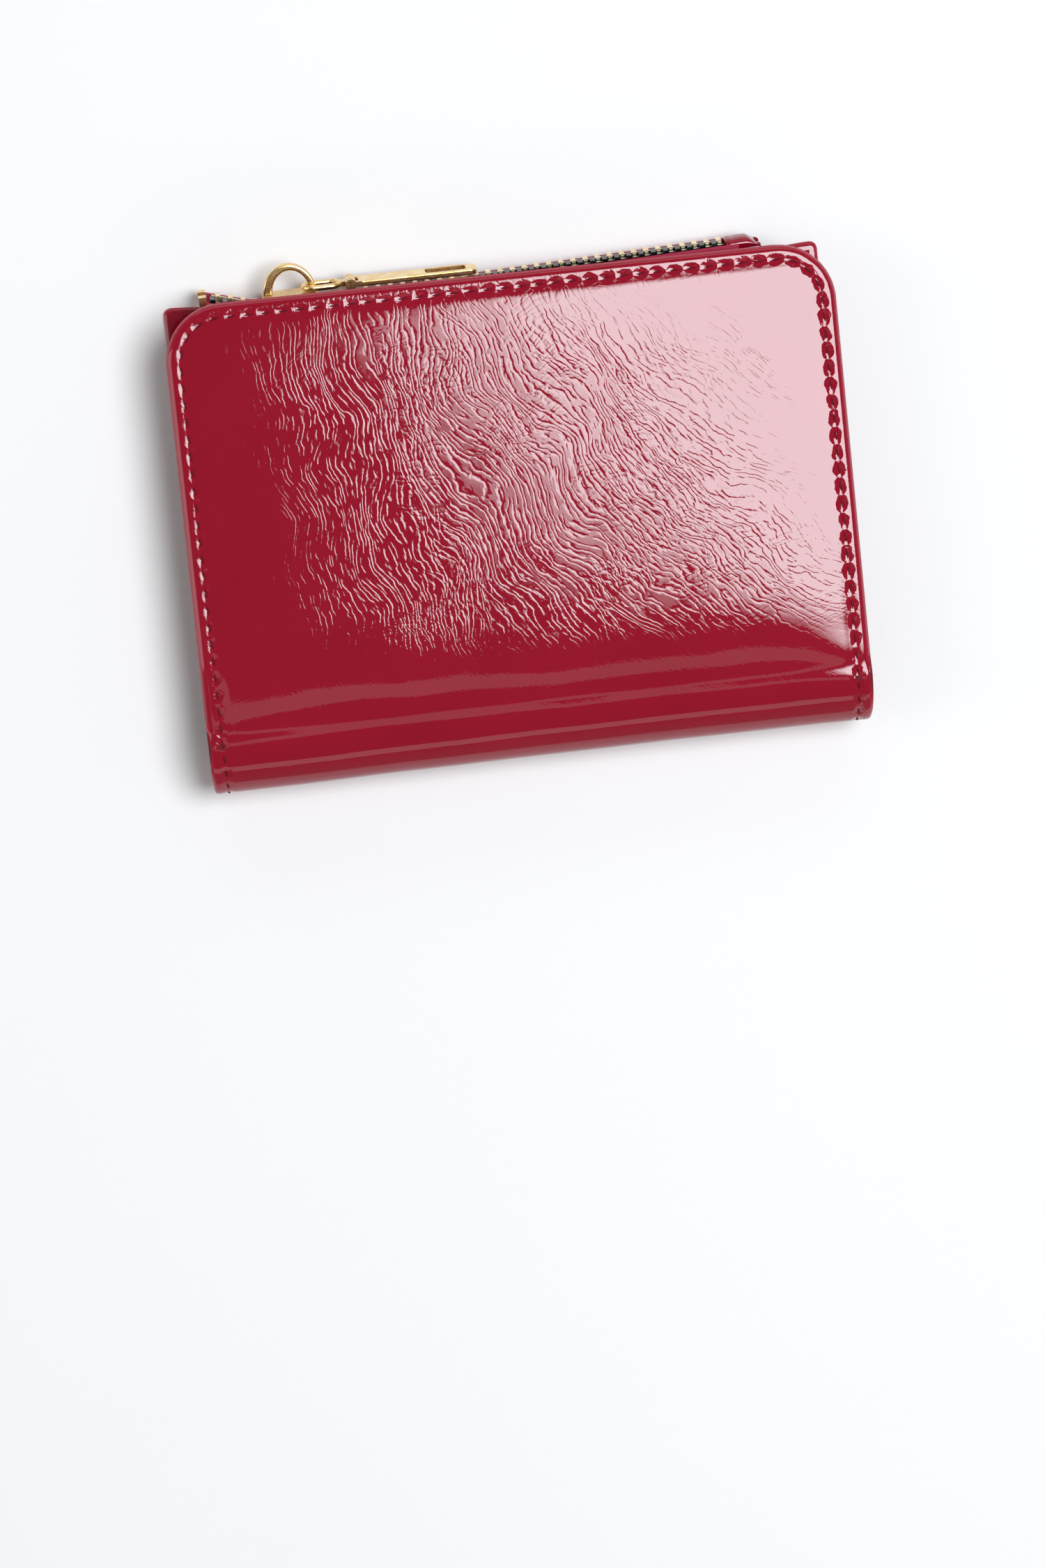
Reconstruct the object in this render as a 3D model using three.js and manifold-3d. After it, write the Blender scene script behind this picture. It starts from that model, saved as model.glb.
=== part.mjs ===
// A compact bifold wallet in glossy leather, with a zipped coin pocket along its top edge.
// It lies closed on its rear panel: +X across the width, +Y from the fold to the zip, +Z out of the front cover.
// Millimetres throughout.
import * as THREE from 'three';
import { mergeVertices } from 'three/addons/utils/BufferGeometryUtils.js';
import Module from 'manifold-3d';

const wasm = await Module();
wasm.setup();

// ---- Driving dimensions -------------------------------------------------------------------------------------

const coverWidth = 138;
const rearWidth = 136.5;
const innerWidth = 132;
const topY = 49; // top edge of the front cover, measured from the middle of its height
const foldY = -51; // outermost point of the fold
const rearTopY = 48.7;
const thickness = 20; // of the closed wallet
const coverCornerRadius = 12;
const smallCornerRadius = 1.5;
const seamGap = 0.3; // between layers that lie on each other

const leather = 1.4;
const foldDepth = 12; // how far the fold bulges below the flat panels
const foldCentreY = foldY + foldDepth;
const panelBottomY = foldCentreY + seamGap;

// The layers of the closed wallet, as [lowest z, thickness], from the table upwards.
const layers = {
  rearOuter: [0, leather],
  rearBoard: [1.6, 0.5],
  rearLining: [2.5, 0.4],
  frontLining: [8.55, 0.4],
  pocketBoard: [9.2, 0.5],
  pocketWall: [9.95, 1],
  billPanel: [11.2, 0.6],
  cardFront: [12.9, 0.6],
  cardMiddle: [13.8, 0.6],
  cardBack: [14.7, 0.6],
  coverLining: [15.6, 0.5],
  coverBoard: [16.4, 0.8],
  coverPadding: [17.5, 0.8],
  coverOuter: [thickness - leather, leather],
};

// Zip: number 5 metal teeth on two tapes.
const toothPitch = 2.54; // between neighbours on one tape
const toothThickness = 0.85;
const toothHeadOverlap = 0.55; // how far a head reaches past the middle of the chain
const toothReach = 2.7; // from the middle of the chain to the end of the legs
const toothHalfHeight = 1;
const chainLeftX = -58;
const chainRightX = 48;
const sliderX = -42;
const chainY = 48.4; // at x = 0
const chainClimb = THREE.MathUtils.degToRad(2); // the chain rises towards its closed end
const chainZ = (layers.rearBoard[0] + layers.billPanel[0] - seamGap) / 2; // midway between the pocket's walls
const zipTilt = THREE.MathUtils.degToRad(77); // of the chain's face, away from +Z and towards +Y
const wedgeWidth = 0.4; // of the post in the slider that parts the teeth
const tailSpread = toothHeadOverlap + wedgeWidth / 2 + seamGap; // each row's shift where the teeth are parted
const tailLift = 5; // how far the parted end stands up
const tapeThickness = 0.4;
const tapeStart = toothReach + 0.5; // clear of the legs, where the rows part too
const tapeLift = 0.3; // of a tape's edge over the middle of the chain
const tapeSewnY = 40; // where a tape's seam inside the wall ends

// Slider, with a bridge that carries the pull.
const sliderLength = 11.4;
const sliderHalfWidth = 4.1;
const sliderPlate = 0.9;
const sliderTopN = 2.3; // height of its upper face over the middle of the chain
const bridgeLength = 11;
const bridgeHeight = 6.2;
const bridgeWire = 1.4;
const bridgeWidth = 2;

// Pull: an oval link on the bridge, and a bar pinned to the link. Distances run from the middle of the slider.
const linkPivotX = 2.9;
const linkPivotN = 3.3;
const linkWireRadius = 0.6;
const linkLength = 8.7;
const linkWidth = 5.4;
const knuckleX = 12.6;
const knuckleRadius = 1.2;
const knuckleBore = 0.7;
const knuckleWidth = 2.6;
const pinRadius = 0.5;
const barEndX = 38.8;
const barWidth = 5.4;
const barThickness = 1.2;
const barWindow = { length: 8.4, width: 3.4, end: 2.2 };
const pullSag = THREE.MathUtils.degToRad(1.9); // the bar's end rests lower than the bridge

// ---- Materials ----------------------------------------------------------------------------------------------

function material(color, roughness, metalness = 0) {
  return new THREE.MeshStandardMaterial({ color, roughness, metalness });
}

const looks = {
  patent: () => material(0x8c0a20, 0.12),
  innerLeather: () => material(0x7a1020, 0.4),
  lining: () => material(0x2a1418, 0.8),
  board: () => material(0x9a8468, 0.9),
  foam: () => material(0xd8d2c4, 0.95),
  tape: () => material(0xb01838, 0.8),
  gold: () => material(0xc8a468, 0.25, 1),
  black: () => material(0x1c2020, 0.35, 1),
};

// ---- Shape helpers ------------------------------------------------------------------------------------------

function positionsOnly(geometry) {
  const bare = geometry.index ? geometry.toNonIndexed() : geometry.clone();
  for (const name of Object.keys(bare.attributes)) {
    if (name !== 'position') bare.deleteAttribute(name);
  }
  return mergeVertices(bare, 1e-5);
}

function toSolid(geometry) {
  const bare = positionsOnly(geometry);
  return new wasm.Manifold(new wasm.Mesh({
    numProp: 3,
    vertProperties: new Float32Array(bare.attributes.position.array),
    triVerts: new Uint32Array(bare.index.array),
  }));
}

function fromSolid(solid) {
  const mesh = solid.getMesh();
  const geometry = new THREE.BufferGeometry();
  geometry.setAttribute('position', new THREE.BufferAttribute(mesh.vertProperties, 3));
  geometry.setIndex(new THREE.BufferAttribute(mesh.triVerts, 1));
  return geometry;
}

function join(...geometries) {
  return fromSolid(geometries.map(toSolid).reduce((whole, piece) => whole.add(piece)));
}

function cut(geometry, ...tools) {
  return fromSolid(tools.map(toSolid).reduce((whole, tool) => whole.subtract(tool), toSolid(geometry)));
}

function roundedOutline(width, lowY, highY, lowRadius, highRadius) {
  const half = width / 2;
  const outline = new THREE.Shape();
  outline.moveTo(-half + lowRadius, lowY);
  outline.lineTo(half - lowRadius, lowY);
  outline.absarc(half - lowRadius, lowY + lowRadius, lowRadius, -Math.PI / 2, 0);
  outline.lineTo(half, highY - highRadius);
  outline.absarc(half - highRadius, highY - highRadius, highRadius, 0, Math.PI / 2);
  outline.lineTo(-half + highRadius, highY);
  outline.absarc(-half + highRadius, highY - highRadius, highRadius, Math.PI / 2, Math.PI);
  outline.lineTo(-half, lowY + lowRadius);
  outline.absarc(-half + lowRadius, lowY + lowRadius, lowRadius, Math.PI, Math.PI * 1.5);
  return outline;
}

function slab(shape, depth, curveSegments = 6) {
  return new THREE.ExtrudeGeometry(shape, { depth, bevelEnabled: false, curveSegments });
}

// A flat layer of the wallet, at its place in the stack.
function sheet(layer, width, lowY, highY, highRadius = smallCornerRadius) {
  const [z, depth] = layers[layer];
  const geometry = slab(roundedOutline(width, lowY, highY, smallCornerRadius, highRadius), depth);
  return geometry.translate(0, 0, z);
}

// The outline of a thin wall that follows a centre line in its own plane.
function wallOutline(line, wall) {
  const sides = line.map((point, i) => {
    const before = line[Math.max(i - 1, 0)];
    const after = line[Math.min(i + 1, line.length - 1)];
    const along = after.clone().sub(before).normalize();
    return new THREE.Vector2(-along.y, along.x).multiplyScalar(wall / 2);
  });
  const left = line.map((point, i) => point.clone().add(sides[i]));
  const right = line.map((point, i) => point.clone().sub(sides[i]));
  return left.concat(right.reverse());
}

// Extrudes an outline drawn in (y, z) along X, centred on x = 0.
function alongX(outline, width, curveSegments = 6) {
  const shape = outline instanceof THREE.Shape ? outline : new THREE.Shape(outline);
  const axes = new THREE.Matrix4().makeBasis(
    new THREE.Vector3(0, 1, 0), new THREE.Vector3(0, 0, 1), new THREE.Vector3(1, 0, 0));
  return slab(shape, width, curveSegments).translate(0, 0, -width / 2).applyMatrix4(axes);
}

// Extrudes an outline drawn in (x, z) along Y, from lowY to highY.
function alongY(outline, lowY, highY) {
  const axes = new THREE.Matrix4().makeBasis(
    new THREE.Vector3(-1, 0, 0), new THREE.Vector3(0, 0, 1), new THREE.Vector3(0, 1, 0));
  const mirrored = outline.map((point) => new THREE.Vector2(-point.x, point.y));
  return slab(new THREE.Shape(mirrored), highY - lowY).translate(0, 0, lowY).applyMatrix4(axes);
}

// A closed solid through rings of points at rising x, all with the same count, with flat ends.
function loft(rings) {
  const count = rings[0].length;
  const firstOutline = rings[0].map((point) => new THREE.Vector2(point.y, point.z));
  if (THREE.ShapeUtils.area(firstOutline) < 0) {
    return loft(rings.map((ring) => ring.slice().reverse()));
  }
  const positions = rings.flat().flatMap((point) => [point.x, point.y, point.z]);
  const faces = [];
  for (let ring = 0; ring < rings.length - 1; ring += 1) {
    for (let i = 0; i < count; i += 1) {
      const a = ring * count + i;
      const b = ring * count + ((i + 1) % count);
      faces.push(a, b, b + count, a, b + count, a + count);
    }
  }
  const lastRing = (rings.length - 1) * count;
  const ends = THREE.ShapeUtils.triangulateShape(firstOutline, []);
  for (const [a, b, c] of ends) {
    faces.push(c, b, a, lastRing + a, lastRing + b, lastRing + c);
  }
  const geometry = new THREE.BufferGeometry();
  geometry.setAttribute('position', new THREE.Float32BufferAttribute(positions, 3));
  geometry.setIndex(faces);
  return geometry;
}

function piece(name, geometry, look) {
  const mesh = new THREE.Mesh(geometry, look());
  mesh.name = name;
  return mesh;
}

// ---- Leather, boards and lining -----------------------------------------------------------------------------

function rearHalf() {
  const boardTopY = tapeSewnY - seamGap;
  const billTopY = 30.5;
  const wallTopY = tapeSewnY + 2;
  return [
    piece('rear_outer_panel', sheet('rearOuter', rearWidth, panelBottomY, rearTopY), looks.patent),
    piece('rear_board', sheet('rearBoard', innerWidth, panelBottomY, boardTopY), looks.board),
    piece('pocket_front_board', sheet('pocketBoard', innerWidth, panelBottomY, boardTopY), looks.board),
    piece('pocket_front_wall', sheet('pocketWall', innerWidth, panelBottomY, wallTopY), looks.innerLeather),
    piece('bill_pocket_panel', sheet('billPanel', innerWidth, panelBottomY, billTopY),
      looks.innerLeather),
    piece('pocket_lining', pocketLining(), looks.lining),
    piece('gusset_left', gusset(-1), looks.innerLeather),
    piece('gusset_right', gusset(1), looks.innerLeather),
  ];
}

// One strip of lining runs down the rear wall of the coin pocket, round its floor and up the front wall.
function pocketLining() {
  const [rearZ, wall] = layers.rearLining;
  const [frontZ] = layers.frontLining;
  const liningTopY = 44;
  const low = rearZ + wall / 2;
  const high = frontZ + wall / 2;
  const radius = (high - low) / 2;
  const floorY = panelBottomY + radius + wall / 2;
  const line = [new THREE.Vector2(liningTopY, low)];
  const steps = 8;
  for (let i = 0; i <= steps; i += 1) {
    const turn = Math.PI * (i / steps);
    line.push(new THREE.Vector2(floorY - radius * Math.sin(turn), low + radius * (1 - Math.cos(turn))));
  }
  line.push(new THREE.Vector2(liningTopY, high));
  return alongX(wallOutline(line, wall), innerWidth);
}

// A pleated side of the coin pocket, folded inwards. side is -1 on the left and 1 on the right.
function gusset(side) {
  const wall = 0.6;
  const outerX = innerWidth / 2 - wall;
  const foldX = outerX - 5;
  const lowZ = layers.rearLining[0] + layers.rearLining[1] + seamGap + wall;
  const highZ = layers.frontLining[0] - seamGap - wall;
  const line = [[outerX, lowZ], [foldX, (lowZ + highZ) / 2], [outerX, highZ]];
  const outline = wallOutline(line.map(([x, z]) => new THREE.Vector2(side * x, z)), wall);
  const lowY = panelBottomY + 4;
  const highY = 43;
  return alongY(outline, lowY, highY);
}

function frontHalf() {
  const coverHighY = topY;
  const innerHighY = topY - 1.5;
  const cardTops = { cardBack: 30, cardMiddle: 20, cardFront: 10 };
  const cards = Object.entries(cardTops).map(([layer, highY]) => {
    const name = layer.replace('card', 'card_slot_').toLowerCase();
    return piece(name, sheet(layer, innerWidth - 6, panelBottomY, highY), looks.innerLeather);
  });
  return [
    piece('front_outer_panel', sheet('coverOuter', coverWidth, panelBottomY, coverHighY, coverCornerRadius),
      looks.patent),
    piece('cover_padding', sheet('coverPadding', innerWidth, panelBottomY, innerHighY, coverCornerRadius),
      looks.foam),
    piece('cover_board', sheet('coverBoard', innerWidth, panelBottomY, innerHighY, coverCornerRadius),
      looks.board),
    piece('cover_lining', sheet('coverLining', coverWidth - 2, panelBottomY, innerHighY, coverCornerRadius),
      looks.innerLeather),
    ...cards,
  ];
}

// A half-ellipse of leather in (y, z) that joins two layers round the fold.
function foldStrip(lowZ, highZ, depth, wall) {
  const steps = 16;
  const middleZ = (lowZ + highZ) / 2;
  const line = [];
  for (let i = 0; i <= steps; i += 1) {
    const turn = Math.PI * (i / steps);
    line.push(new THREE.Vector2(
      foldCentreY - depth * Math.sin(turn), middleZ - ((highZ - lowZ) / 2) * Math.cos(turn)));
  }
  return wallOutline(line, wall);
}

function fold() {
  const inset = leather / 2;
  const outer = foldStrip(inset, thickness - inset, foldDepth - inset, leather);
  const liningWall = 0.5;
  const [wallZ, wallDepth] = layers.pocketWall;
  const [liningZ, liningDepth] = layers.coverLining;
  const inner = foldStrip(wallZ + wallDepth / 2, liningZ + liningDepth / 2, 4, liningWall);
  return [
    piece('spine_leather', alongX(outer, rearWidth), looks.patent),
    piece('spine_lining', alongX(inner, innerWidth), looks.innerLeather),
  ];
}

// ---- Press stud between the cover's lining and the pocket ---------------------------------------------------

const snapY = 37.5;
const snapRadius = 5;
const snapKnobRadius = 2;
const snapRound = 24;

function disc(radius, lowZ, highZ) {
  const cylinder = new THREE.CylinderGeometry(radius, radius, highZ - lowZ, snapRound);
  return cylinder.rotateX(Math.PI / 2).translate(0, snapY, (lowZ + highZ) / 2);
}

function pressStud() {
  const [wallZ, wallDepth] = layers.pocketWall;
  const baseZ = wallZ + wallDepth + seamGap;
  const socketLowZ = 13.2;
  const socketHighZ = layers.coverLining[0] - seamGap;
  const stud = join(disc(snapRadius, baseZ, baseZ + 1.2), disc(snapKnobRadius, baseZ + 0.6, socketLowZ + 1));
  const hole = disc(snapKnobRadius + 0.4, socketLowZ - 1, socketLowZ + 1.5);
  const socket = cut(disc(snapRadius, socketLowZ, socketHighZ), hole);
  return { stud: piece('snap_stud', stud, looks.gold), socket: piece('snap_socket', socket, looks.gold) };
}

// ---- Zip ----------------------------------------------------------------------------------------------------

// Zip axes: X runs along the chain, U across it towards the front cover, N out of its face.
const climb = new THREE.Matrix4().makeRotationZ(chainClimb);
const axisX = new THREE.Vector3(1, 0, 0).applyMatrix4(climb);
const axisU = new THREE.Vector3(0, -Math.cos(zipTilt), Math.sin(zipTilt)).applyMatrix4(climb);
const axisN = new THREE.Vector3(0, Math.sin(zipTilt), Math.cos(zipTilt)).applyMatrix4(climb);
const chainCentre = new THREE.Vector3(0, chainY, chainZ);

function zipPoint(x, u, n) {
  return chainCentre.clone().addScaledVector(axisX, x).addScaledVector(axisU, u).addScaledVector(axisN, n);
}

// Turns a geometry modelled in (x, -u, n) into the wallet's axes.
function intoZipAxes(geometry) {
  const axes = new THREE.Matrix4().makeBasis(axisX, axisU.clone().negate(), axisN);
  return geometry.applyMatrix4(axes.setPosition(chainCentre));
}

// A row's shift from the closed chain at x, across it and out of its face. The slider's wedge parts the rows,
// and left of the slider they stand up.
function rowShift(side, x) {
  const partingX = sliderX + 1.5;
  const spread = tailSpread * THREE.MathUtils.smoothstep(partingX - x, 0, 5);
  const share = THREE.MathUtils.clamp((sliderX - sliderLength / 2 - x) / (sliderX - chainLeftX), 0, 1);
  return { u: side * spread, n: tailLift * share };
}

function toothOutline() {
  const half = toothThickness / 2;
  const neck = half * 0.7;
  const points = [
    [-neck, -toothHeadOverlap], [neck, -toothHeadOverlap], [half, -toothHeadOverlap / 2],
    [half, toothReach], [-half, toothReach], [-half, -toothHeadOverlap / 2],
  ];
  return new THREE.Shape(points.map(([x, u]) => new THREE.Vector2(x, u)));
}

// The cord along a tape's edge, which the teeth are clamped on.
function tapeCord(side) {
  const half = 0.4;
  const stations = 16;
  const corners = [[-half, -half], [half, -half], [half, half], [-half, half]];
  const rings = [];
  for (let i = 0; i <= stations; i += 1) {
    const x = chainLeftX + ((sliderX - chainLeftX + 2) * i) / stations;
    rings.push([x, rowShift(side, x)]);
  }
  rings.push([chainRightX, rowShift(side, chainRightX)]);
  return loft(rings.map(([x, shift]) => corners.map(([u, n]) =>
    zipPoint(x, side * (toothReach - 2 * half) + shift.u + u, shift.n + n))));
}

// A row of teeth on its cord. side is 1 on the front tape and -1 on the rear one.
function teethRow(side) {
  const bevel = 0.2;
  const firstX = chainLeftX + (side > 0 ? 0 : toothPitch / 2);
  const count = Math.floor((chainRightX - firstX) / toothPitch);
  const options = { depth: 2 * (toothHalfHeight - bevel), bevelSize: 0.12, bevelThickness: bevel, bevelSegments: 1 };
  const teeth = [];
  for (let i = 0; i <= count; i += 1) {
    const x = firstX + i * toothPitch;
    const shift = rowShift(side, x);
    const tooth = new THREE.ExtrudeGeometry(toothOutline(), { ...options, curveSegments: 1 });
    tooth.translate(0, 0, -(toothHalfHeight - bevel));
    if (side > 0) tooth.rotateZ(Math.PI);
    teeth.push(intoZipAxes(tooth.translate(x, -shift.u, shift.n)));
  }
  return join(tapeCord(side), ...teeth);
}

// A tape from the edge of the teeth down to its seam inside the pocket's wall. It leaves the teeth along their row.
function tape(side) {
  const layer = side > 0 ? layers.pocketBoard : layers.rearBoard;
  const seamZ = layer[0] + layer[1] / 2;
  const bend = side > 0 ? 0.6 : 0.9;
  const stations = 24;
  const profileSteps = 6;
  const leftX = chainLeftX - 1.5;
  const rightX = chainRightX + 3;
  const rings = [];
  for (let i = 0; i <= stations; i += 1) {
    const x = leftX + ((rightX - leftX) * i) / stations;
    const shift = rowShift(side, x);
    const start = zipPoint(x, side * tapeStart + shift.u, shift.n + tapeLift);
    const end = start.clone().setY(tapeSewnY).setZ(seamZ);
    const startPull = start.clone().addScaledVector(axisU, side * bend);
    const endPull = end.clone().setY((tapeSewnY + start.y) / 2);
    const curve = new THREE.CubicBezierCurve3(start, startPull, endPull, end);
    const line = curve.getPoints(profileSteps).map((p) => new THREE.Vector2(p.y, p.z));
    rings.push(wallOutline(line, tapeThickness).map((p) => new THREE.Vector3(start.x, p.x, p.y)));
  }
  return loft(rings);
}

// A block in the zip's axes, before intoZipAxes.
function box(x, u, n, sizeX, sizeU, sizeN) {
  return new THREE.BoxGeometry(sizeX, sizeU, sizeN).translate(x, -u, n);
}

function zipStops() {
  const block = (x, u, n, sizeU, sizeN) => intoZipAxes(box(x, u, n, 1.6, sizeU, sizeN));
  const stopX = chainLeftX - 2;
  const topStop = (name, side) => {
    const shift = rowShift(side, stopX);
    return piece(name, block(stopX, side * 1.4 + shift.u, shift.n, 2.2, 2), looks.gold);
  };
  return [
    topStop('zip_top_stop_front', 1),
    topStop('zip_top_stop_rear', -1),
    piece('zip_bottom_stop', block(chainRightX + 1.7, 0, 0, 3.2, 1.4), looks.gold),
  ];
}

// A folded leather tab wraps the closed end of the zip.
function endTab() {
  const length = 7.4;
  const half = 1.5;
  const wall = 0.7;
  const inner = tapeStart - 0.4;
  const shape = new THREE.Shape();
  shape.moveTo(inner, -half);
  shape.lineTo(inner, half - 1);
  shape.absarc(inner - 1, half - 1, 1, 0, Math.PI / 2);
  shape.lineTo(1 - inner, half);
  shape.absarc(1 - inner, half - 1, 1, Math.PI / 2, Math.PI);
  shape.lineTo(-inner, -half);
  shape.lineTo(-inner + wall, -half);
  shape.lineTo(-inner + wall, half - wall);
  shape.lineTo(inner - wall, half - wall);
  shape.lineTo(inner - wall, -half);
  const solid = alongX(shape, length, 3).translate(chainRightX + 0.4 + length / 2, 0, 0);
  return piece('zip_end_tab', intoZipAxes(solid), looks.patent);
}

// ---- Slider and pull ----------------------------------------------------------------------------------------

// Two plates joined by the wedge that parts the teeth. The upper one turns down at its sides to hold them.
function sliderBody() {
  const plate = (halfWidth, n) => {
    const outline = roundedOutline(halfWidth * 2, -sliderLength / 2, sliderLength / 2, 2, 1);
    return slab(outline, sliderPlate, 4).rotateZ(Math.PI / 2).translate(0, 0, n);
  };
  const upper = plate(sliderHalfWidth, sliderTopN - sliderPlate);
  const lower = plate(toothReach + 0.1, -sliderTopN);
  const wedge = box(-sliderLength / 2 + 1, 0, 0, 1.2, wedgeWidth, sliderTopN * 2 - sliderPlate);
  const guideLength = sliderLength / 2 - 1;
  const guideHeight = sliderTopN - tapeLift - tapeThickness / 2 - seamGap;
  const guides = [1, -1].map((side) => box(guideLength / 2, side * (sliderHalfWidth - 0.35),
    sliderTopN - guideHeight / 2, guideLength, 0.7, guideHeight));
  return intoZipAxes(join(upper, lower, wedge, ...guides).translate(sliderX, 0, 0));
}

// The bridge is a round-edged strap bent into a half-ellipse over the slider, thicker at its left foot.
function sliderBridge() {
  const half = bridgeLength / 2;
  const heavyFoot = 0.5;
  const baseN = sliderTopN + 0.2;
  const arch = new THREE.Shape();
  arch.moveTo(-half, 0);
  arch.absellipse(0, 0, half, bridgeHeight, Math.PI, 0, true);
  const innerHalf = half - bridgeWire - heavyFoot / 2;
  arch.lineTo(half - bridgeWire, 0);
  arch.absellipse(heavyFoot / 2, 0, innerHalf, bridgeHeight - bridgeWire, 0, Math.PI, false);
  const bevel = 0.45;
  const strap = new THREE.ExtrudeGeometry(arch, {
    depth: bridgeWidth - 2 * bevel, bevelSize: bevel, bevelOffset: -bevel, bevelThickness: bevel,
    bevelSegments: 3, curveSegments: 20,
  });
  strap.translate(0, 0, -(bridgeWidth / 2 - bevel)).rotateX(Math.PI / 2);
  return intoZipAxes(strap.translate(sliderX, 0, baseN));
}

// An oval ring, rounded all over, with a knuckle at its right end for the pin.
function pullLink() {
  const wire = 2 * linkWireRadius;
  const oval = (inset) => {
    const width = linkWidth - 2 * inset;
    const radius = width / 2 - 0.05;
    return roundedOutline(width, inset, linkLength - inset, radius, radius);
  };
  const outline = oval(0);
  outline.holes.push(oval(wire));
  const flat = 0.1;
  const bevel = linkWireRadius - flat;
  const ring = new THREE.ExtrudeGeometry(outline, {
    depth: 2 * flat, bevelSize: bevel, bevelOffset: -bevel, bevelThickness: bevel, bevelSegments: 3, curveSegments: 8,
  });
  ring.translate(0, 0, -flat).rotateZ(-Math.PI / 2).translate(linkPivotX - linkWireRadius, 0, 0);
  const ringEndX = linkPivotX - linkWireRadius + linkLength;
  const neckStartX = ringEndX - linkWireRadius;
  const neckLength = knuckleX - knuckleBore - 0.2 - neckStartX;
  const neck = box(neckStartX + neckLength / 2, 0, 0, neckLength, knuckleWidth - 0.4, 1);
  return cut(join(ring, neck, acrossU(knuckleRadius, knuckleWidth, knuckleX)),
    acrossU(knuckleBore, knuckleWidth + 2, knuckleX));
}

function acrossU(radius, width, x) {
  return new THREE.CylinderGeometry(radius, radius, width, 20).translate(x, 0, 0);
}

// A flat bar with a window, and two cheeks on either side of the link's knuckle.
function pullBar() {
  const startX = knuckleX + knuckleRadius + 0.4;
  const outline = roundedOutline(barWidth, startX, barEndX, 0.6, 1.4);
  const window = roundedOutline(barWindow.width, 0, barWindow.length, 0.8, 0.8);
  const lay = (shape, depth) => slab(shape, depth, 4).rotateZ(-Math.PI / 2).translate(0, 0, -depth / 2);
  const bevel = 0.3;
  const body = new THREE.ExtrudeGeometry(outline, {
    depth: barThickness - 2 * bevel, bevelSize: bevel, bevelOffset: -bevel, bevelThickness: bevel,
    bevelSegments: 2, curveSegments: 4,
  });
  body.rotateZ(-Math.PI / 2).translate(0, 0, -(barThickness / 2 - bevel));
  const opening = lay(window, barThickness + 2).translate(barEndX - barWindow.end - barWindow.length, 0, 0);
  const cheekWidth = (barWidth - knuckleWidth) / 2 - 0.3;
  const cheeks = [1, -1].flatMap((side) => {
    const u = side * (barWidth / 2 - cheekWidth / 2);
    const length = startX + 0.8 - knuckleX;
    return [
      acrossU(knuckleRadius, cheekWidth, knuckleX).translate(0, -u, 0),
      box(knuckleX + length / 2, u, 0, length, cheekWidth, barThickness - 0.1),
    ];
  });
  return cut(join(body, ...cheeks), opening, acrossU(knuckleBore, barWidth + 2, knuckleX));
}

// Lowers the pull's far end onto the chain by turning it about the link's pivot.
function ontoChain(geometry) {
  return intoZipAxes(geometry.translate(-linkPivotX, 0, 0).rotateY(pullSag)
    .translate(sliderX + linkPivotX, 0, linkPivotN));
}

function slider() {
  return [
    piece('slider_body', sliderBody(), looks.gold),
    piece('slider_bridge', sliderBridge(), looks.gold),
    piece('pull_link', ontoChain(pullLink()), looks.gold),
    piece('pull_pin', ontoChain(acrossU(pinRadius, barWidth - 0.4, knuckleX)), looks.gold),
    piece('pull_bar', ontoChain(pullBar()), looks.gold),
  ];
}

// ---- The wallet ---------------------------------------------------------------------------------------------

const { stud, socket } = pressStud();
const wallet = new THREE.Group();
wallet.add(
  ...rearHalf(),
  ...fold(),
  ...frontHalf(),
  stud,
  socket,
  piece('zip_tape_front', tape(1), looks.tape),
  piece('zip_tape_rear', tape(-1), looks.tape),
  piece('zip_teeth_front', teethRow(1), looks.black),
  piece('zip_teeth_rear', teethRow(-1), looks.gold),
  ...zipStops(),
  endTab(),
  ...slider(),
);

// The origin is the middle of the wallet's footprint on the table.
const bounds = new THREE.Box3().setFromObject(wallet);
const middle = bounds.getCenter(new THREE.Vector3());
wallet.position.set(-middle.x, -middle.y, -bounds.min.z);

export default wallet;
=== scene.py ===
"""Looks of a compact bifold zip wallet in crinkled patent leather. Metres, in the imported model's frame."""
import math

import bpy
import numpy as np
from mathutils import Matrix, Vector


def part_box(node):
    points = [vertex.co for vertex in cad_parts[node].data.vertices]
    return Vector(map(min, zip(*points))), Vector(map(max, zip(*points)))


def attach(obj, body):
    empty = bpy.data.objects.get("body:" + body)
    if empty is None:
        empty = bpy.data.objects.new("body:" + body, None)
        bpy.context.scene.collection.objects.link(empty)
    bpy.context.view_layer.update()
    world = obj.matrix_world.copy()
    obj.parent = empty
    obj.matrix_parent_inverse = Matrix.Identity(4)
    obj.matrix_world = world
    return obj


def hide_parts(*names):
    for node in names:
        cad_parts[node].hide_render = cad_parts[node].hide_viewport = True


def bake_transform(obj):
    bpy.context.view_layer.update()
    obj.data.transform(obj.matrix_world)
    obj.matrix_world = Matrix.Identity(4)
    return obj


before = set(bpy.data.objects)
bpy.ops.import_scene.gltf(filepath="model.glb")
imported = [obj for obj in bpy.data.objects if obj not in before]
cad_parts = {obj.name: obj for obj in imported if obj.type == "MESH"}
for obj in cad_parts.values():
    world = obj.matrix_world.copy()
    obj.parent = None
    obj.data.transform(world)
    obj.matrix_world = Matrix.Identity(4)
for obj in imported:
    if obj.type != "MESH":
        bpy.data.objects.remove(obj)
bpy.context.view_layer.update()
MM = 0.001

# ---- Places that come from the frame ------------------------------------------------------------

_, cover_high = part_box("front_outer_panel")
_, rear_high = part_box("rear_outer_panel")
spine_low, spine_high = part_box("spine_leather")
lining_low, lining_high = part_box("cover_lining")

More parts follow.
